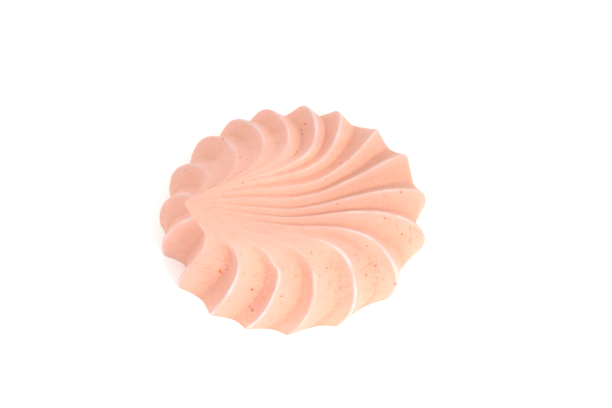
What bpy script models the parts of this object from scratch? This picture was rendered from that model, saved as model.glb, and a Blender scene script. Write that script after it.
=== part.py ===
"""Piped meringue cookie, one solid.

A star nozzle laid down a flat swirl: eighteen sharp ridges stand on a round foot, lean over and
run together into a tail that was pulled to one side as the nozzle left.

The piece is a stack of closed rings. The rules below give each ring's size, place, height and
outline, read at a level from 0 at the foot to 1 at the tail's tip. A rule is a Bezier curve with
a few control values, in units of the foot's radius. The ridges run from ring to ring at a fixed
azimuth, and the flutes between them are scooped out of that surface.

Frame: metres, +Z up, foot on z = 0 with its centre at the origin, tail towards -X.
"""
import math

import bpy
import numpy as np

FOOT_RADIUS = 0.0275

# Rules of the rings, from the foot (left) to the tip (right).
RING_RADIUS = (1.0, 1.08, 0.62, 0.28, 0.47, 0.0)
RING_DEPTH_SHARE = (0.91, 1.01, 0.77, 0.87)        # Y radius over X radius
RING_SHIFT_X = (0.0, 0.14, 0.06, -0.06, -0.26, -0.81)
RING_SHIFT_Y = (0.0, 0.07, 0.0, -0.12, -0.09, 0.05)
RING_HEIGHT = (0.0, 0.27, 0.41, 0.46, 0.52, 0.67)
RING_TILT = (0.0, -0.03, 0.07, 0.21, 0.08, 0.0)    # rise of the tail's side of a ring
RING_EGG_X = (0.0, -0.12, -0.17, -0.41, -0.04, 0.0)
RING_EGG_Y = (0.0, -0.06, -0.26, -0.09, 0.04, 0.0)

FIRST_RIDGE_DEG = -9.0                             # azimuth of the first ridge's foot
# One row for each flute: the angle between its ridges in degrees, the place of its valley across
# it (0 to 1), its depth over its width at the foot and above, the roundness of its two sides, and
# the level where it fades. A side of roundness 1 is straight, over 1 hollow and under 1 bulging.
FLUTES = (
    (24, 0.30, 0.14, 0.21, 1.3, 0.62, 0.95),
    (21, 0.40, 0.15, 0.27, 1.4, 0.75, 0.95),
    (23, 0.53, 0.12, 0.29, 1.4, 0.8, 0.9),
    (17, 0.50, 0.20, 0.31, 1.5, 1.0, 0.75),
    (19, 0.50, 0.19, 0.27, 1.6, 1.2, 0.6),
    (15, 0.50, 0.21, 0.22, 1.8, 1.5, 0.5),
    (16, 0.48, 0.20, 0.22, 1.8, 1.8, 0.46),
    (18, 0.48, 0.19, 0.22, 2.0, 2.0, 0.46),
    (17, 0.50, 0.19, 0.22, 2.0, 2.0, 0.55),
    (16, 0.50, 0.19, 0.22, 2.0, 2.0, 0.55),
    (19, 0.60, 0.42, 0.28, 2.0, 2.0, 0.65),
    (20, 0.70, 0.17, 0.25, 1.5, 1.8, 0.62),
    (17, 0.75, 0.15, 0.26, 1.4, 1.5, 0.6),
    (18, 0.76, 0.12, 0.21, 1.4, 1.4, 0.6),
    (21, 0.70, 0.12, 0.17, 1.6, 1.5, 0.55),
    (26, 0.60, 0.13, 0.13, 1.8, 1.7, 0.7),
    (30, 0.30, 0.17, 0.14, 1.5, 1.2, 0.9),
    (23, 0.30, 0.26, 0.20, 1.3, 0.75, 0.95),
)
FOOT_ROUNDNESS = 2.2                               # that all flutes come near to at the foot
FLUTE_SKEW = (0.3, 1.0, 1.0, 0.6)                  # how much of its own shape a flute has
FLUTE_FADE = (0.0, 1.25, 1.5, 0.9, 0.3)            # share of the depth above the foot
FADE_LENGTH = 0.25                                 # levels over which a flute fades
FAINT_SHARE = 0.18                                 # of a flute's depth past its fading
FOOT_BLEND_HEIGHT = 0.08 * FOOT_RADIUS             # above this a flute may also cut downwards

# Facets.
COLUMNS_PER_SIDE = 4                               # a flute has two sides, from crest to valley
LEVELS = 30
LEVEL_CROWDING = 1.4                               # above 1 the levels crowd towards the tip
DIFFERENCE_STEP = 1e-4
CREST_ANGLE = math.radians(35)

MERINGUE_COLOUR = (0.93, 0.62, 0.47, 1.0)


def clear_scene():
    for thing in list(bpy.data.objects):
        bpy.data.objects.remove(thing, do_unlink=True)


def bezier(controls, level):
    """Value of a rule at a level, which may be an array."""
    degree = len(controls) - 1
    total = 0.0
    for index, value in enumerate(controls):
        share = math.comb(degree, index) * level ** index * (1 - level) ** (degree - index)
        total = total + share * value
    return total


def swirl_point(azimuth, level):
    """Point of the surface that carries the crests, for arrays of azimuths and levels."""
    radius = bezier(RING_RADIUS, level)
    x = bezier(RING_SHIFT_X, level) + radius * np.cos(azimuth)
    x = x + bezier(RING_EGG_X, level) * np.cos(2 * azimuth)
    y = bezier(RING_SHIFT_Y, level) + bezier(RING_DEPTH_SHARE, level) * radius * np.sin(azimuth)
    y = y + bezier(RING_EGG_Y, level) * np.sin(2 * azimuth)
    z = bezier(RING_HEIGHT, level) - bezier(RING_TILT, level) * np.cos(azimuth)
    return FOOT_RADIUS * np.stack([x, y, z], axis=-1)


def flute_columns():
    """For each column of points: whether it lies on its flute's near side, its way from crest
    (0) to valley (1), the azimuth of the ridge before it, the flute's angle, valley and two
    depths, the side's roundness and the flute's reach."""
    ways = np.arange(COLUMNS_PER_SIDE) / COLUMNS_PER_SIDE
    columns = []
    start = math.radians(FIRST_RIDGE_DEG)
    for step, valley, foot, deep, near, far, reach in FLUTES:
        span = math.radians(step)
        columns += [(1, way, start, span, valley, foot, deep, near, reach) for way in ways]
        columns += [(0, 1 - way, start, span, valley, foot, deep, far, reach) for way in ways]
        start += span
    return np.array(columns).T


def smooth_step(value):
    value = np.clip(value, 0, 1)
    return value * value * (3 - 2 * value)


def flute_depth(foot, deep, strength, level):
    """Depth of a flute over its width."""
    share = foot * (1 - level) ** (len(FLUTE_FADE) - 1) + deep * bezier(FLUTE_FADE, level)
    return share * strength


def fluted_rings():
    """Points of every ring below the tip, as an array of levels by columns by 3."""
    near_side, way, start, span, valley, foot, deep, roundness, reach = flute_columns()
    level = 1 - (1 - np.arange(LEVELS) / LEVELS) ** LEVEL_CROWDING
    way, level = np.meshgrid(way, level)
    past_reach = smooth_step((level - reach) / FADE_LENGTH + 0.5)
    strength = 1 - (1 - FAINT_SHARE) * past_reach
    skew = bezier(FLUTE_SKEW, level)
    valley = 0.5 + (valley - 0.5) * skew
    roundness = FOOT_ROUNDNESS + (roundness - FOOT_ROUNDNESS) * skew
    place = np.where(near_side, way * valley, 1 - way * (1 - valley))
    azimuth = start + place * span
    crest_surface = swirl_point(azimuth, level)
    around = swirl_point(azimuth + DIFFERENCE_STEP, level) - crest_surface
    along = swirl_point(azimuth, level + DIFFERENCE_STEP) - crest_surface
    flute_width = np.linalg.norm(around, axis=-1) / DIFFERENCE_STEP * span
    outward = np.cross(around, along)
    outward /= np.linalg.norm(outward, axis=-1, keepdims=True)
    outward[..., 2] *= np.clip(crest_surface[..., 2] / FOOT_BLEND_HEIGHT, 0, 1)
    scoop = 1 - (1 - way) ** roundness
    depth = flute_depth(foot, deep, strength, level) * flute_width * scoop
    return crest_surface - outward * depth[..., None]


def swirl_faces(levels, columns):
    """Side quads, the fan that closes the tip and the fan of the flat foot."""
    tip = levels * columns
    foot_centre = tip + 1
    faces = []
    for column in range(columns):
        beside = (column + 1) % columns
        for low in range(0, tip - columns, columns):
            high = low + columns
            faces.append((low + column, low + beside, high + beside, high + column))
        faces.append((tip - columns + column, tip - columns + beside, tip))
        faces.append((beside, column, foot_centre))
    return faces


def meringue_material():
    material = bpy.data.materials.new("meringue")
    material.use_nodes = True
    shader = material.node_tree.nodes["Principled BSDF"]
    shader.inputs["Base Color"].default_value = MERINGUE_COLOUR
    shader.inputs["Roughness"].default_value = 0.75
    shader.inputs["Metallic"].default_value = 0.0
    return material


def make_meringue():
    rings = fluted_rings()
    levels, columns = rings.shape[:2]
    points = [tuple(point) for point in rings.reshape(-1, 3)]
    points.append(tuple(swirl_point(np.array(0.0), np.array(1.0))))
    points.append((0.0, 0.0, 0.0))
    mesh = bpy.data.meshes.new("meringue")
    mesh.from_pydata(points, [], swirl_faces(levels, columns))
    mesh.materials.append(meringue_material())
    mesh.shade_smooth()
    mesh.set_sharp_from_angle(angle=CREST_ANGLE)
    bpy.context.scene.collection.objects.link(bpy.data.objects.new("meringue", mesh))


clear_scene()
make_meringue()
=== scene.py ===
"""Looks of the piped meringue cookie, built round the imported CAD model.

The swirl is made again on the CAD's own rules with a much finer mesh, and gets what the plain solid
leaves out: rounded crests, drag lines from the nozzle, an uneven foam surface, burst bubbles and
grains of colour. Lengths are in metres, in the CAD's frame: +Z up, foot on z = 0, tail towards -X.
"""
import math
import random

import bmesh
import bpy
import numpy as np
from mathutils import Matrix, Vector, noise


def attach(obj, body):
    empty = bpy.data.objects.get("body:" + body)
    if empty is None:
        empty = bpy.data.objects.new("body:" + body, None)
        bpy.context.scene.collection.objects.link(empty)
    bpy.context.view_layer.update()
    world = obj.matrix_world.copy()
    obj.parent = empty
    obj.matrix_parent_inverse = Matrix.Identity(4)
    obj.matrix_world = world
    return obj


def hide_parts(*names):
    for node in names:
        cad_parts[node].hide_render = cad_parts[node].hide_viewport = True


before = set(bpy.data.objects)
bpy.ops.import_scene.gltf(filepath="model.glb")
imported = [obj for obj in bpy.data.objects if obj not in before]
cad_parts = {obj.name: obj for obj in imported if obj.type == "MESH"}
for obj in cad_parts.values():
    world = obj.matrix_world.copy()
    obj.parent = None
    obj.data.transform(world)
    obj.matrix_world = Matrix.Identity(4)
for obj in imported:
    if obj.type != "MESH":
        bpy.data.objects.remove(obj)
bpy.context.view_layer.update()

# ---------------------------------------------------------------- the swirl's rules, as in the CAD
FOOT_RADIUS = 0.0275
RING_RADIUS = (1.0, 1.08, 0.62, 0.28, 0.47, 0.0)
RING_DEPTH_SHARE = (0.91, 1.01, 0.77, 0.87)
RING_SHIFT_X = (0.0, 0.14, 0.06, -0.06, -0.26, -0.81)
RING_SHIFT_Y = (0.0, 0.07, 0.0, -0.12, -0.09, 0.05)
RING_HEIGHT = (0.0, 0.27, 0.41, 0.46, 0.52, 0.67)
RING_TILT = (0.0, -0.03, 0.07, 0.21, 0.08, 0.0)
RING_EGG_X = (0.0, -0.12, -0.17, -0.41, -0.04, 0.0)
RING_EGG_Y = (0.0, -0.06, -0.26, -0.09, 0.04, 0.0)
FIRST_RIDGE_DEG = -9.0
# One row for each flute: its angle at the foot in degrees, the place of its valley across it, its
# depth over its width at the foot and above, the roundness of its two sides, the level where it
# fades, and how strong the painted highlight on the ridge before it is. A side of roundness 1 is
# straight, over 1 hollow and under 1 bulging.
FLUTES = (
    (24, 0.30, 0.14, 0.21, 1.3, 0.62, 0.95, 0.7),
    (21, 0.40, 0.15, 0.27, 1.4, 0.75, 0.95, 0.45),
    (23, 0.53, 0.12, 0.29, 1.4, 0.8, 0.9, 0.5),
    (17, 0.50, 0.20, 0.31, 1.5, 1.0, 0.75, 0.6),
    (19, 0.50, 0.19, 0.27, 1.6, 1.2, 0.6, 0.9),
    (15, 0.50, 0.21, 0.22, 1.8, 1.5, 0.5, 0.5),
    (16, 0.48, 0.20, 0.22, 1.8, 1.8, 0.46, 0.6),
    (18, 0.48, 0.19, 0.22, 2.0, 2.0, 0.46, 0.5),
    (17, 0.50, 0.19, 0.22, 2.0, 2.0, 0.55, 0.6),
    (16, 0.50, 0.19, 0.22, 2.0, 2.0, 0.55, 0.5),
    (19, 0.60, 0.42, 0.28, 2.0, 2.0, 0.65, 0.9),
    (20, 0.70, 0.17, 0.25, 1.5, 1.8, 0.62, 0.3),
    (17, 0.75, 0.15, 0.26, 1.4, 1.5, 0.6, 1.0),
    (18, 0.76, 0.12, 0.21, 1.4, 1.4, 0.6, 1.0),
    (21, 0.70, 0.12, 0.17, 1.6, 1.5, 0.55, 0.5),
    (26, 0.60, 0.13, 0.13, 1.8, 1.7, 0.7, 1.0),
    (30, 0.30, 0.17, 0.14, 1.5, 1.2, 0.9, 0.9),
    (23, 0.30, 0.26, 0.20, 1.3, 0.75, 0.95, 1.0),
)
FOOT_ROUNDNESS = 2.2                          # that all flutes come near to at the foot
FLUTE_FADE = (0.0, 1.25, 1.5, 0.9, 0.3)       # share of the depth above the foot
FLUTE_SKEW = (0.3, 1.0, 1.0, 0.6)             # how much of its own shape a flute has
FADE_LENGTH = 0.25                            # levels over which a flute fades
FAINT_SHARE = 0.18                            # of a flute's depth past its fading
FOOT_BLEND_HEIGHT = 0.08 * FOOT_RADIUS        # above this a flute may also cut downwards
DIFFERENCE_STEP = 1e-4

# ---------------------------------------------------------------- fine surface
COLUMNS_PER_SIDE = 14              # a flute has two sides, from crest to valley
LEVELS = 184
LEVEL_CROWDING = 1.4               # above 1 the levels crowd towards the tip
COLUMN_CROWDING = 0.6              # share of cosine spacing, which crowds columns at crests and valleys
TINY = 1e-12                       # keeps a divisor above nothing
CREST_ROUNDING = 0.00025           # most that a crest's edge is rounded
CREST_ROUNDING_SHARE = (0.03, 0.03, 0.05, 0.1, 0.1)     # and the most over its flute's width
TIP_ROUNDING = 0.0003              # how far the tip's very end is drawn in
TIP_LEVELS = (0.78, 0.9)           # levels between which the tip's rounding sets in
CREST_HIGHLIGHT_WIDTH = 0.00055              # how far the painted highlight reaches from a crest
CREST_HIGHLIGHT_STEEPNESS = 1.5              # above 1 the painted highlight is full in the middle
SHADED_SIDE_DEG = (8, 30)            # middle and spread of the side with painted shade, a deeper pink
SHADED_SIDE_LEVELS = (0.35, 0.35)    # the same up the levels
SEED = 7                           # of all that is random
NOISE_STRIDE = (3.1, 1.7, 2.3)     # how far on each next seed reads the noise
CREST_WANDER = 0.010               # radians that a ridge strays from its azimuth
WANDERS_AROUND = 2.2               # how fast the straying changes, round the piece and up it
WANDERS_UP = 5.0
WANDER_RISE = 6                    # how fast it sets in above the foot
# Kinks of the ridges: azimuth of the ridge in degrees, level and turn in radians.
RIDGE_KINKS = ((233, 0.47, 0.030),)
KINK_WIDTH = 0.10                  # reach of a kink around, in radians
KINK_LEVELS = (0.12, 0.04)         # reach of a kink below and above its level
LUMPS = ((0.0060, 0.00016), (0.0022, 0.00006), (0.0009, 0.000022))    # size and height of lumps
DRAG_LINES_PER_RADIAN = 55
DRAG_LINES_UP = 6                  # how fast a drag line changes on its way up
DRAG_LINE_HEIGHT = 0.00004
FULL_RELIEF_WIDTH = 0.004          # flutes narrower than this have fainter relief
# Rough patches with burst bubbles: flute (the first is 0), place across it, level, spread and
# number of bubbles.
ROUGH_PATCHES = (
    (16, 0.88, 0.18, 0.0018, 24),
    (16, 0.85, 0.33, 0.0018, 8),
    (15, 0.60, 0.24, 0.0032, 18),
    (14, 0.60, 0.28, 0.0036, 24),
    (13, 0.50, 0.45, 0.0022, 10),
    (12, 0.65, 0.42, 0.0028, 10),
    (11, 0.65, 0.36, 0.0022, 10),
    # this patch by the first ridge is partly painted highlight: its cream spots stand for a broad
    # highlight
    (17, 0.95, 0.32, 0.0018, 6),
    (1, 0.50, 0.93, 0.0007, 2),
)
SCATTERED_PITS = 40
PIT_RADII = (0.00018, 0.00042)
PIT_DEPTH_SHARE = 0.35             # depth of a pit over its radius
SCATTER_LOWEST_ROW = 4             # what is scattered lies from this ring
SCATTER_ROWS_SHARE = 0.8           # up to this share of the rings
SCATTER_FULL_WIDTH = 0.0005        # a place drawn is kept for sure where columns are this wide


def bezier(controls, level):
    """Value of a rule at a level, which may be an array."""
    degree = len(controls) - 1
    total = 0.0
    for index, value in enumerate(controls):
        share = math.comb(degree, index) * level ** index * (1 - level) ** (degree - index)
        total = total + share * value
    return total


def swirl_point(azimuth, level):
    """Point of the surface that carries the crests, for arrays of azimuths and levels."""
    radius = bezier(RING_RADIUS, level)
    x = bezier(RING_SHIFT_X, level) + radius * np.cos(azimuth)
    x = x + bezier(RING_EGG_X, level) * np.cos(2 * azimuth)
    y = bezier(RING_SHIFT_Y, level) + bezier(RING_DEPTH_SHARE, level) * radius * np.sin(azimuth)
    y = y + bezier(RING_EGG_Y, level) * np.sin(2 * azimuth)
    z = bezier(RING_HEIGHT, level) - bezier(RING_TILT, level) * np.cos(azimuth)
    return FOOT_RADIUS * np.stack([x, y, z], axis=-1)


def flute_columns():
    """For each column of points: whether it lies on its flute's near side, its way from crest
    (0) to valley (1), the azimuth of the ridge before it, the flute's angle, valley, two depths,
    the side's roundness, the flute's reach and the strength of the nearer ridge's painted highlight."""
    evens = np.arange(COLUMNS_PER_SIDE) / COLUMNS_PER_SIDE
    ways = evens + COLUMN_CROWDING * ((1 - np.cos(math.pi * evens)) / 2 - evens)
    columns = []
    start = math.radians(FIRST_RIDGE_DEG)
    for number, (step, valley, foot, deep, near, far, reach, highlight_share) in enumerate(FLUTES):
        span = math.radians(step)
        next_highlight_share = FLUTES[(number + 1) % len(FLUTES)][-1]
        flute = (start, span, valley, foot, deep)
        columns += [(1, way, *flute, near, reach, highlight_share) for way in ways]
        columns += [(0, 1 - way, *flute, far, reach, next_highlight_share) for way in ways]
        start += span
    return np.array(columns).T


def level_rows():
    """Levels of the rings, which crowd towards the tip."""
    return 1 - (1 - np.arange(LEVELS) / LEVELS) ** LEVEL_CROWDING


def noise_at(points, seed):
    """Smooth noise of about -1 to 1 at an array of points, with lumps of size 1."""
    offset = Vector([seed * stride for stride in NOISE_STRIDE])
    values = [noise.noise(Vector(point) + offset) for point in points.reshape(-1, 3)]
    return np.array(values).reshape(points.shape[:-1])


def ring_normals(points):
    """Outward unit normals of rings of points."""
    around = np.roll(points, -1, axis=1) - np.roll(points, 1, axis=1)
    along = np.gradient(points, axis=0)
    normals = np.cross(around, along)
    return normals / np.maximum(np.linalg.norm(normals, axis=-1, keepdims=True), TINY)


def wander(azimuth, level):
    """Azimuths of the ridges and flutes after they stray a little, which they don't at the foot,
    and after the kinks."""
    around = np.stack([WANDERS_AROUND * np.cos(azimuth), WANDERS_AROUND * np.sin(azimuth),
                       WANDERS_UP * level], axis=-1)
    set_in = np.clip(WANDER_RISE * level, 0, 1)
    strayed = azimuth + CREST_WANDER * noise_at(around, SEED) * set_in
    for ridge_deg, kink_level, turn in RIDGE_KINKS:
        across = (azimuth - math.radians(ridge_deg)) / KINK_WIDTH
        up = (level - kink_level) / np.where(level < kink_level, *KINK_LEVELS)
        strayed += turn * np.exp(-across ** 2 - up ** 2)
    return strayed


def smooth_step(value):
    value = np.clip(value, 0, 1)
    return value * value * (3 - 2 * value)


def flute_depth(foot, deep, strength, level):
    """Depth of a flute over its width."""
    share = foot * (1 - level) ** (len(FLUTE_FADE) - 1) + deep * bezier(FLUTE_FADE, level)
    return share * strength


def crest_surface_at(azimuth, level):
    """Points of the surface that carries the crests, the directions in which flutes are scooped
    out of it, and its width for each radian."""
    surface = swirl_point(azimuth, level)
    around = swirl_point(azimuth + DIFFERENCE_STEP, level) - surface
    along = swirl_point(azimuth, level + DIFFERENCE_STEP) - surface
    outward = np.cross(around, along)
    outward /= np.linalg.norm(outward, axis=-1, keepdims=True)
    outward[..., 2] *= np.clip(surface[..., 2] / FOOT_BLEND_HEIGHT, 0, 1)
    return surface, outward, np.linalg.norm(around, axis=-1) / DIFFERENCE_STEP


def scoop_share(from_crest, side_width, flute_width, level, roundness):
    """Depth at a point over its flute's depth, 0 at the crest, whose edge is rounded."""
    rounding = np.minimum(CREST_ROUNDING, flute_width * bezier(CREST_ROUNDING_SHARE, level))
    rounded = np.sqrt(from_crest ** 2 + rounding ** 2) - rounding
    shut = np.clip(1 - rounded / np.maximum(side_width, TINY), 0, 1)
    return 1 - shut ** roundness


def fluted_rings(rng):
    """Rings of points below the tip with the flutes scooped out, and facts about each point."""
    near_side, way, start, span, valley, foot, deep, roundness, reach, highlight_share = flute_columns()
    way, level = np.meshgrid(way, level_rows())
    past_reach = smooth_step((level - reach) / FADE_LENGTH + 0.5)
    strength = 1 - (1 - FAINT_SHARE) * past_reach
    skew = bezier(FLUTE_SKEW, level)
    valley = 0.5 + (valley - 0.5) * skew
    roundness = FOOT_ROUNDNESS + (roundness - FOOT_ROUNDNESS) * skew
    place = np.where(near_side, way * valley, 1 - way * (1 - valley))
    azimuth = wander(start + place * span, level)
    surface, outward, radian_width = crest_surface_at(azimuth, level)
    flute_width = radian_width * span
    side_width = np.where(near_side, valley, 1 - valley) * flute_width
    from_crest = way * side_width
    scoop = scoop_share(from_crest, side_width, flute_width, level, roundness)
    depth = flute_depth(foot, deep, strength, level) * flute_width * scoop
    points = rounded_tip(surface - outward * depth[..., None], level)
    pit_depth, pits = burst_bubbles(points, place, rng)
    height = relief(points, azimuth, level) - pit_depth
    room = np.clip(flute_width / FULL_RELIEF_WIDTH, 0, 1)
    points = raised(points, room * height)
    # painted highlight along each crest
    crest_highlight = np.clip(CREST_HIGHLIGHT_STEEPNESS * (1 - from_crest / CREST_HIGHLIGHT_WIDTH), 0, 1) * highlight_share
    # the way down each groove drives the painted light and shade across the flutes
    return points, {"place": place, "crest_highlight": crest_highlight, "groove_shading": way * strength, "level": level,
                    "side_shade": painted_side_shade(azimuth, level), "pit": pits,
                    "rough": roughness_patches(points, place)}


def raised(points, height):
    """The points moved outward by a height, with the foot still flat."""
    points = points + ring_normals(points) * height[..., None]
    points[..., 2] = np.maximum(points[..., 2], 0)
    points[0, :, 2] = 0
    return points


def painted_side_shade(azimuth, level):
    """How much painted shade there is, a deeper pink, 1 in the middle of the shaded side."""
    middle_deg, spread_deg = SHADED_SIDE_DEG
    middle_level, spread_level = SHADED_SIDE_LEVELS
    turn = np.angle(np.exp(1j * (azimuth - math.radians(middle_deg)))) / math.radians(spread_deg)
    return np.exp(-turn ** 2 - ((level - middle_level) / spread_level) ** 2)


def rounded_tip(points, level):
    """The points with the tail's tip drawn in along its axis, so that it ends blunt and round."""
    tip, before = [swirl_point(np.array([0, math.pi]), np.full(2, end)).mean(axis=0)
                   for end in (1.0, 1.0 - DIFFERENCE_STEP)]
    inward = (before - tip) / np.linalg.norm(before - tip)
    behind = np.sum((points - tip) * inward, axis=-1)
    low, high = TIP_LEVELS
    drawn = np.hypot(behind, TIP_ROUNDING) - behind
    return points + (smooth_step((level - low) / (high - low)) * drawn)[..., None] * inward


def relief(points, azimuth, level):
    """Height of the lumps and of the drag lines, which run along the flutes."""
    height = np.zeros(level.shape)
    for number, (size, size_height) in enumerate(LUMPS):
        height += size_height * noise_at(points / size, SEED + number)
    across = DRAG_LINES_PER_RADIAN * azimuth
    up = DRAG_LINES_UP * level
    lines = noise_at(np.stack([across, up, np.zeros(level.shape)], axis=-1), SEED)
    return height + DRAG_LINE_HEIGHT * lines


def grid_place(places, flute, across, level):
    """Row and column of the point at a place across a flute and a level."""
    row = int(np.abs(level_rows() - level).argmin())
    first = flute * 2 * COLUMNS_PER_SIDE
    flute_places = places[row, first:first + 2 * COLUMNS_PER_SIDE]
    return row, first + int(np.abs(flute_places - across).argmin())


def random_place(points, rng):
    """Row and column of a random point, kept less often where the columns are narrow, so that
    they don't get more than their share."""
    while True:
        row = rng.randrange(SCATTER_LOWEST_ROW, int(SCATTER_ROWS_SHARE * LEVELS))
        column = rng.randrange(points.shape[1])
        width = np.linalg.norm(points[row, column] - points[row, column - 1])
        if rng.random() < width / SCATTER_FULL_WIDTH:
            return row, column


def pit_centres(points, places, rng):
    """Points near which bubbles have burst, thick in the rough patches and thin elsewhere."""
    centres = []
    for flute, across, level, spread, number in ROUGH_PATCHES:
        middle = points[grid_place(places, flute, across, level)]
        for _ in range(number):
            centres.append(middle + np.array([rng.gauss(0, spread) for _ in range(3)]))
    for _ in range(SCATTERED_PITS):
        centres.append(points[random_place(points, rng)])
    return centres


def burst_bubbles(points, places, rng):
    """Depth of the burst bubbles at every point, and how far inside one it lies, from 0 to 1."""
    depth = np.zeros(points.shape[:-1])
    inside = np.zeros(points.shape[:-1])
    for centre in pit_centres(points, places, rng):
        away = np.linalg.norm(points - centre, axis=-1)
        nearest = points[np.unravel_index(away.argmin(), away.shape)]
        radius = rng.uniform(*PIT_RADII)
        share = np.clip(1 - np.sum((points - nearest) ** 2, axis=-1) / radius ** 2, 0, 1)
        depth = np.maximum(depth, PIT_DEPTH_SHARE * radius * share)
        inside = np.maximum(inside, share)
    return depth, inside


def roughness_patches(points, places):
    """From 0 on the smooth surface to 1 in the middle of the rough patches."""
    rough = np.zeros(points.shape[:-1])
    for flute, across, level, spread, _ in ROUGH_PATCHES:
        middle = points[grid_place(places, flute, across, level)]
        away = np.linalg.norm(points - middle, axis=-1)
        rough = np.maximum(rough, np.exp(-(away / spread) ** 2 / 2))
    return rough


def swirl_faces(levels, columns):
    """Side quads, the fan that closes the tip and the fan of the flat foot."""
    tip = levels * columns
    foot_centre = tip + 1
    faces = []
    for column in range(columns):
        beside = (column + 1) % columns
        for low in range(0, tip - columns, columns):
            high = low + columns
            faces.append((low + column, low + beside, high + beside, high + column))
        faces.append((tip - columns + column, tip - columns + beside, tip))
        faces.append((beside, column, foot_centre))
    return faces


def make_body(rings, facts):
    """The swirl's mesh. It carries the facts as attributes, which its material reads."""
    levels, columns = rings.shape[:2]
    points = [tuple(point) for point in rings.reshape(-1, 3)]
    points.append(tuple(rings[-1].mean(axis=0)))
    points.append((0.0, 0.0, 0.0))
    mesh = bpy.data.meshes.new("meringue_swirl")
    mesh.from_pydata(points, [], swirl_faces(levels, columns))
    for name, values in facts.items():
        attribute = mesh.attributes.new(name, "FLOAT", "POINT")
        at_tip_and_foot = (1.0, 0.0) if name == "level" else (0.0, 0.0)
        values = np.append(values.ravel(), at_tip_and_foot)
        attribute.data.foreach_set("value", values.astype(np.float32))
    mesh.shade_smooth()
    body = bpy.data.objects.new("meringue_swirl", mesh)
    bpy.context.scene.collection.objects.link(body)
    return body


# ---------------------------------------------------------------- grains of colour
# Grains listed one by one, each at a flute (the first is 0), a place across it, a level and with a
# radius. The small ones lie at random.
ORANGE_GRAINS = (
    (11, 0.55, 0.32, 0.00040),
    (11, 0.60, 0.31, 0.00034),
    (11, 0.70, 0.36, 0.00026),
    (11, 0.40, 0.17, 0.00026),
    (12, 0.45, 0.30, 0.00034),
    (12, 0.65, 0.16, 0.00028),
    (13, 0.20, 0.30, 0.00030),
    (4, 0.50, 0.56, 0.00036),
    (2, 0.15, 0.44, 0.00030),
    (14, 0.40, 0.43, 0.00022),
    (15, 0.65, 0.28, 0.00026),
    (15, 0.35, 0.27, 0.00026),
    (16, 0.85, 0.33, 0.00028),
    (16, 0.70, 0.23, 0.00024),
    (17, 0.90, 0.24, 0.00022),
    (3, 0.10, 0.86, 0.00020),
)
BROWN_GRAINS = (
    (12, 0.75, 0.15, 0.00040),
    (4, 0.30, 0.32, 0.00034),
    (4, 0.45, 0.35, 0.00030),
    (4, 0.45, 0.39, 0.00028),
    (14, 0.25, 0.56, 0.00026),
    (15, 0.95, 0.10, 0.00030),
    (15, 0.75, 0.39, 0.00022),
    (14, 0.70, 0.28, 0.00022),
    (0, 0.35, 0.59, 0.00020),
    (17, 0.80, 0.51, 0.00020),
    (1, 0.80, 0.53, 0.00022),
    (8, 0.10, 0.26, 0.00026),
    (7, 0.00, 0.35, 0.00030),
    (6, 0.85, 0.57, 0.00022),
)
SMALL_GRAINS = 36                  # of each colour
SMALL_GRAIN_RADII = (0.00007, 0.00016)
GRAIN_WIDTH_SHARES = (0.5, 1.0)    # width of a grain over its length
GRAIN_HEIGHT_SHARES = (0.2, 0.35)  # height over length
GRAIN_SWELL = 0.25                 # most that a grain's outline swells or shrinks
GRAIN_NOISE_STRIDE = 1000          # how far on the noise is read for each metre between grains


def grain(work, place, normal, radius, rng):
    """An uneven flake of colour, half sunk in the surface."""
    turn = normal.to_track_quat("Z", "Y").to_matrix().to_4x4()
    width = rng.uniform(*GRAIN_WIDTH_SHARES)
    height = rng.uniform(*GRAIN_HEIGHT_SHARES)
    squash = Matrix.Diagonal((1.0, width, height, 1.0))
    spin = Matrix.Rotation(rng.uniform(0, math.tau), 4, "Z")
    matrix = Matrix.Translation(place) @ turn @ spin @ squash
    made = bmesh.ops.create_icosphere(work, subdivisions=2, radius=radius, matrix=matrix)
    for vertex in made["verts"]:
        arm = vertex.co - place
        swell = 1 + GRAIN_SWELL * noise.noise(arm / radius + place * GRAIN_NOISE_STRIDE)
        vertex.co = place + arm * swell


def make_grains(name, chosen, rings, places, rng):
    """One mesh of the listed grains and of small ones at random places."""
    normals = ring_normals(rings)
    spots = [(grid_place(places, *place), radius) for *place, radius in chosen]
    for _ in range(SMALL_GRAINS):
        spots.append((random_place(rings, rng), rng.uniform(*SMALL_GRAIN_RADII)))
    work = bmesh.new()
    for spot, radius in spots:
        grain(work, Vector(rings[spot]), Vector(normals[spot]), radius, rng)
    mesh = bpy.data.meshes.new(name)
    work.to_mesh(mesh)
    work.free()
    mesh.shade_smooth()
    grains = bpy.data.objects.new(name, mesh)
    bpy.context.scene.collection.objects.link(grains)
    return grains


# ---------------------------------------------------------------- materials
PEACH = (0.76, 0.376, 0.294)
CREAMY_PEACH = (0.78, 0.404, 0.303)
# orange of the blotches, and also the painted shade half way down the grooves
BLOTCH_AND_GROOVE_SHADE_ORANGE = (0.74, 0.325, 0.21)
# painted light beside the crests, and painted shade in the valleys
CREST_SIDE_LIGHT_PEACH = (0.77, 0.42, 0.345)
GROOVE_SHADE_PINK = (0.67, 0.31, 0.215)
# painted highlight along the crests
CREST_HIGHLIGHT_WHITE = (0.65, 0.56, 0.55)
# painted shade that darkens one side of the swirl
SHADED_SIDE_PEACH = (0.60, 0.31, 0.225)
FOOT_CREAM = (0.78, 0.445, 0.335)
PORE_ORANGE = (0.72, 0.24, 0.13)
CREAM = (0.84, 0.52, 0.38)
BAKED_CREAM = (0.82, 0.50, 0.35)
GRAIN_ORANGE = (0.85, 0.20, 0.07)
GRAIN_DARK_ORANGE = (0.70, 0.12, 0.05)
GRAIN_BROWN = (0.62, 0.27, 0.16)
GRAIN_DARK_BROWN = (0.50, 0.18, 0.10)
FLOOR_WHITE = (0.99, 0.99, 0.99)

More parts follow.
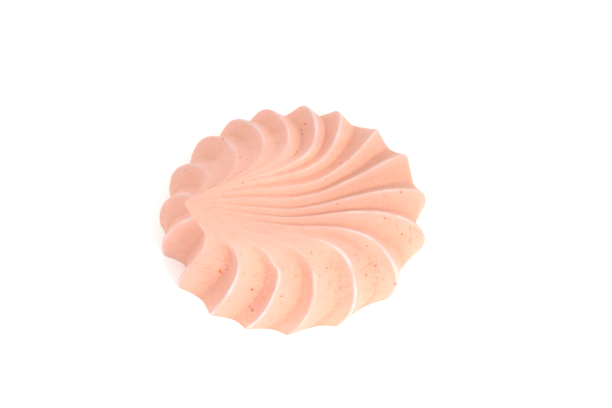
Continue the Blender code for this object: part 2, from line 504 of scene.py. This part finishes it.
# Sizes of what the materials are patterned with.
MOTTLE_SIZE = 0.007
BLOTCH_SIZE = 0.0016
CREAM_SPOT_SIZE = 0.0004
CREST_HIGHLIGHT_PART_SIZE = 0.006            # of the parts of a crest where the painted highlight is stronger or weaker
ROUGHNESS_SIZE = 0.002
FOAM_SIZE = 0.00035
PORE_SPACING = 0.0008
GRAIN_SHADE_SIZE = 0.0003

# Ramps: two ends of what is read, such as noise or a fact about a point, and what each gives.
MOTTLE_RAMP = (0.35, 0.65, 0.0, 1.0)
LOW_RAMP = (0.02, 0.3, 0.8, 0.0)           # by level, for the cream near the foot
BLOTCH_RAMP = (0.5, 0.7, 0.0, 0.4)
CREST_SIDE_LIGHT_RAMP = (0.0, 0.45, 0.6, 0.0)    # by way down the groove, as the next two; these paint light beside the crests and shade down to the valleys
GROOVE_SIDE_SHADE_RAMP = (0.35, 0.9, 0.0, 0.5)
VALLEY_SHADE_RAMP = (0.75, 1.0, 0.0, 0.5)
ROUGH_RAMP = (0.0, 1.0, 0.25, 1.0)         # specks show faintly outside the rough patches too
PORE_RAMP = (0.10, 0.22, 0.5, 0.0)
CREAM_SPOT_RAMP = (0.5, 0.65, 0.0, 0.45)
PIT_RAMP = (0.0, 1.0, 0.0, 0.5)
CREST_HIGHLIGHT_PART_RAMP = (0.36, 0.6, 0.35, 1.0)
OUTER_HIGHLIGHT_RAMP = (0.4, 0.75, 1.0, 0.0)         # by level, for the painted highlight on the crests
BAKED_RAMP = (0.0, 0.004, 1.0, 0.0)        # by level, for the rim that lay on the tray
ROUGHNESS_RAMP = (0.3, 0.7, 0.5, 0.8)
PORE_HEIGHT_RAMP = (0.08, 0.25, 0.0, 1.0)
GRAIN_SHADE_RAMP = (0.3, 0.7, 0.0, 1.0)


def new_material(name):
    material = bpy.data.materials.new(name)
    material.use_nodes = True
    return material, material.node_tree, material.node_tree.nodes["Principled BSDF"]


def add_node(tree, kind, settings=None, **inputs):
    """A node with the given settings, and values for its inputs by name, spaces as underscores."""
    node = tree.nodes.new(kind)
    for name, value in (settings or {}).items():
        setattr(node, name, value)
    for name, value in inputs.items():
        node.inputs[name.replace("_", " ")].default_value = value
    return node


def attribute_value(tree, name):
    return add_node(tree, "ShaderNodeAttribute", {"attribute_name": name}).outputs["Fac"]


def ramp(tree, value, ends):
    """Value read between the first two ends, and given between the last two."""
    low, high, to_low, to_high = ends
    node = add_node(tree, "ShaderNodeMapRange", From_Min=low, From_Max=high, To_Min=to_low,
                    To_Max=to_high)
    tree.links.new(value, node.inputs["Value"])
    return node.outputs["Result"]


def multiply(tree, first, second):
    node = add_node(tree, "ShaderNodeMath", {"operation": "MULTIPLY"})
    tree.links.new(first, node.inputs[0])
    tree.links.new(second, node.inputs[1])
    return node.outputs["Value"]


def blend_colour(tree, factor, first, second):
    """Mix of a colour or a colour output with a plain colour."""
    node = add_node(tree, "ShaderNodeMix", {"data_type": "RGBA"})
    tree.links.new(factor, node.inputs["Factor"])
    if isinstance(first, tuple):
        node.inputs["A"].default_value = (*first, 1)
    else:
        tree.links.new(first, node.inputs["A"])
    node.inputs["B"].default_value = (*second, 1)
    return node.outputs["Result"]


def noise_value(tree, lump_size, detail=2.0):
    """Noise texture whose lumps are lump_size metres across."""
    coordinates = tree.nodes.new("ShaderNodeTexCoord").outputs["Object"]
    node = add_node(tree, "ShaderNodeTexNoise", Scale=1 / lump_size, Detail=detail)
    tree.links.new(coordinates, node.inputs["Vector"])
    return node.outputs["Fac"]


def pore_value(tree, spacing):
    """Distance from the nearest pore, over the pores' spacing."""
    coordinates = tree.nodes.new("ShaderNodeTexCoord").outputs["Object"]
    node = add_node(tree, "ShaderNodeTexVoronoi", Scale=1 / spacing)
    tree.links.new(coordinates, node.inputs["Vector"])
    return node.outputs["Distance"]


def bump(tree, height, strength, distance, normal=None):
    node = add_node(tree, "ShaderNodeBump", Strength=strength, Distance=distance)
    tree.links.new(height, node.inputs["Height"])
    if normal:
        tree.links.new(normal, node.inputs["Normal"])
    return node.outputs["Normal"]


def foam_colour(tree):
    """Peach foam, creamier in patches and near the foot, with painted shade as a deeper pink on one
    side, orange in blotches.
    """
    mottle = ramp(tree, noise_value(tree, MOTTLE_SIZE), MOTTLE_RAMP)
    colour = blend_colour(tree, mottle, PEACH, CREAMY_PEACH)
    low = ramp(tree, attribute_value(tree, "level"), LOW_RAMP)
    colour = blend_colour(tree, low, colour, FOOT_CREAM)
    # painted shade: one side of the swirl made a deeper pink
    colour = blend_colour(tree, attribute_value(tree, "side_shade"), colour, SHADED_SIDE_PEACH)
    blotches = ramp(tree, noise_value(tree, BLOTCH_SIZE), BLOTCH_RAMP)
    return blend_colour(tree, blotches, colour, BLOTCH_AND_GROOVE_SHADE_ORANGE)


def with_painted_groove_shading(tree, colour):
    """The colour with painted light beside the crests, and painted shade deeper down to the valleys."""
    groove_shading = attribute_value(tree, "groove_shading")
    colour = blend_colour(tree, ramp(tree, groove_shading, CREST_SIDE_LIGHT_RAMP), colour, CREST_SIDE_LIGHT_PEACH)
    colour = blend_colour(tree, ramp(tree, groove_shading, GROOVE_SIDE_SHADE_RAMP), colour, BLOTCH_AND_GROOVE_SHADE_ORANGE)
    return blend_colour(tree, ramp(tree, groove_shading, VALLEY_SHADE_RAMP), colour, GROOVE_SHADE_PINK)


def with_specks(tree, colour):
    """The colour with orange pores, cream spots and orange pits, most in the rough patches."""
    rough = ramp(tree, attribute_value(tree, "rough"), ROUGH_RAMP)
    pores = ramp(tree, pore_value(tree, PORE_SPACING), PORE_RAMP)
    colour = blend_colour(tree, multiply(tree, pores, rough), colour, PORE_ORANGE)
    # cream spots are the foam's own colour, and in the patch by the first ridge also a painted
    # highlight
    spots = ramp(tree, noise_value(tree, CREAM_SPOT_SIZE), CREAM_SPOT_RAMP)
    colour = blend_colour(tree, multiply(tree, spots, rough), colour, CREAM)
    pits = ramp(tree, attribute_value(tree, "pit"), PIT_RAMP)
    return blend_colour(tree, pits, colour, PORE_ORANGE)


def with_crest_highlights_and_rim(tree, colour):
    """The colour with a painted highlight along the crests, and the baked rim of the foot."""
    parts = ramp(tree, noise_value(tree, CREST_HIGHLIGHT_PART_SIZE, detail=1.0), CREST_HIGHLIGHT_PART_RAMP)
    outer = ramp(tree, attribute_value(tree, "level"), OUTER_HIGHLIGHT_RAMP)
    crest_highlight = multiply(tree, attribute_value(tree, "crest_highlight"), multiply(tree, parts, outer))
    colour = blend_colour(tree, crest_highlight, colour, CREST_HIGHLIGHT_WHITE)
    baked = ramp(tree, attribute_value(tree, "level"), BAKED_RAMP)
    return blend_colour(tree, baked, colour, BAKED_CREAM)


def foam_normal(tree):
    """Fine foam with pores in it."""
    foam = noise_value(tree, FOAM_SIZE, detail=3.0)
    foam = bump(tree, foam, strength=0.6, distance=0.00004)
    pores = ramp(tree, pore_value(tree, PORE_SPACING), PORE_HEIGHT_RAMP)
    return bump(tree, pores, strength=0.7, distance=0.00008, normal=foam)


def meringue_material():
    material, tree, shader = new_material("meringue")
    colour = with_specks(tree, with_painted_groove_shading(tree, foam_colour(tree)))
    tree.links.new(with_crest_highlights_and_rim(tree, colour), shader.inputs["Base Color"])
    roughness = ramp(tree, noise_value(tree, ROUGHNESS_SIZE), ROUGHNESS_RAMP)
    tree.links.new(roughness, shader.inputs["Roughness"])
    tree.links.new(foam_normal(tree), shader.inputs["Normal"])
    shader.inputs["Subsurface Weight"].default_value = 0.6
    shader.inputs["Subsurface Radius"].default_value = (1.0, 0.5, 0.3)
    shader.inputs["Subsurface Scale"].default_value = 0.0008
    return material


def grain_material(name, colour, darker_colour):
    material, tree, shader = new_material(name)
    shade = ramp(tree, noise_value(tree, GRAIN_SHADE_SIZE), GRAIN_SHADE_RAMP)
    tree.links.new(blend_colour(tree, shade, colour, darker_colour), shader.inputs["Base Color"])
    shader.inputs["Roughness"].default_value = 0.5
    return material


def floor_material():
    material, _, shader = new_material("white_floor")
    shader.inputs["Base Color"].default_value = (*FLOOR_WHITE, 1)
    shader.inputs["Roughness"].default_value = 0.9
    return material


# ---------------------------------------------------------------- surroundings
CAMERA_AZIMUTH = math.radians(-17.9)
CAMERA_ELEVATION = math.radians(60.2)
CAMERA_DISTANCE = 16 * FOOT_RADIUS
FOOT_RADIUS_SHARE = 0.219          # foot radius over the picture's width
AIM_RIGHT = 0.0895                 # where the camera aims, in foot radii from the origin
AIM_UP = 0.150
WORLD_STRENGTH = 1.16
FLOOR_SIZE = 4.0
NEAREST_SEEN = 0.01                # distance from the camera where its view starts


def view_axes(azimuth, elevation):
    """Unit vectors to the right, up and back towards the camera."""
    back = Vector((math.sin(azimuth) * math.cos(elevation),
                   -math.cos(azimuth) * math.cos(elevation),
                   math.sin(elevation)))
    right = Vector((math.cos(azimuth), math.sin(azimuth), 0))
    return right, back.cross(right), back


def put(thing, axes, place):
    """Links a camera or light at a place, looking against the last of its axes."""
    thing.matrix_world = Matrix.Translation(place) @ Matrix(axes).transposed().to_4x4()
    bpy.context.scene.collection.objects.link(thing)


def make_camera():
    right, up, back = view_axes(CAMERA_AZIMUTH, CAMERA_ELEVATION)
    data = bpy.data.cameras.new("camera")
    data.lens = data.sensor_width * FOOT_RADIUS_SHARE * CAMERA_DISTANCE / FOOT_RADIUS
    data.clip_start = NEAREST_SEEN
    camera = bpy.data.objects.new("camera", data)
    aim = FOOT_RADIUS * (AIM_RIGHT * right + AIM_UP * up)
    put(camera, (right, up, back), aim + CAMERA_DISTANCE * back)
    bpy.context.scene.camera = camera


def area_light(name, azimuth_deg, elevation_deg, distance, size, power, colour):
    axes = view_axes(math.radians(azimuth_deg), math.radians(elevation_deg))
    data = bpy.data.lights.new(name, "AREA")
    data.shape = "DISK"
    data.size = size
    data.energy = power
    data.color = colour
    put(bpy.data.objects.new(name, data), axes, distance * axes[2])


def make_lights():
    world = bpy.data.worlds.new("studio")
    bpy.context.scene.world = world
    world.use_nodes = True
    background = world.node_tree.nodes["Background"]
    background.inputs["Color"].default_value = (1, 1, 1, 1)
    background.inputs["Strength"].default_value = WORLD_STRENGTH
    area_light("key", azimuth_deg=22, elevation_deg=30, distance=0.8, size=0.3, power=3.6,
               colour=(1.0, 0.97, 0.905))


def make_floor():
    bpy.ops.mesh.primitive_plane_add(size=FLOOR_SIZE)
    floor = bpy.context.object
    floor.name = "floor"
    floor.data.materials.append(floor_material())


def finish_piece(piece, material):
    piece.data.materials.append(material)
    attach(piece, "root")


def main():
    rng = random.Random(SEED)
    rings, facts = fluted_rings(rng)
    places = facts.pop("place")
    body = make_body(rings, facts)
    finish_piece(body, meringue_material())
    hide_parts("meringue")
    orange = grain_material("grain_orange", GRAIN_ORANGE, GRAIN_DARK_ORANGE)
    finish_piece(make_grains("orange_grains", ORANGE_GRAINS, rings, places, rng), orange)
    brown = grain_material("grain_brown", GRAIN_BROWN, GRAIN_DARK_BROWN)
    finish_piece(make_grains("brown_grains", BROWN_GRAINS, rings, places, rng), brown)
    make_floor()
    make_camera()
    make_lights()
    bpy.context.scene.view_settings.view_transform = "Standard"


main()
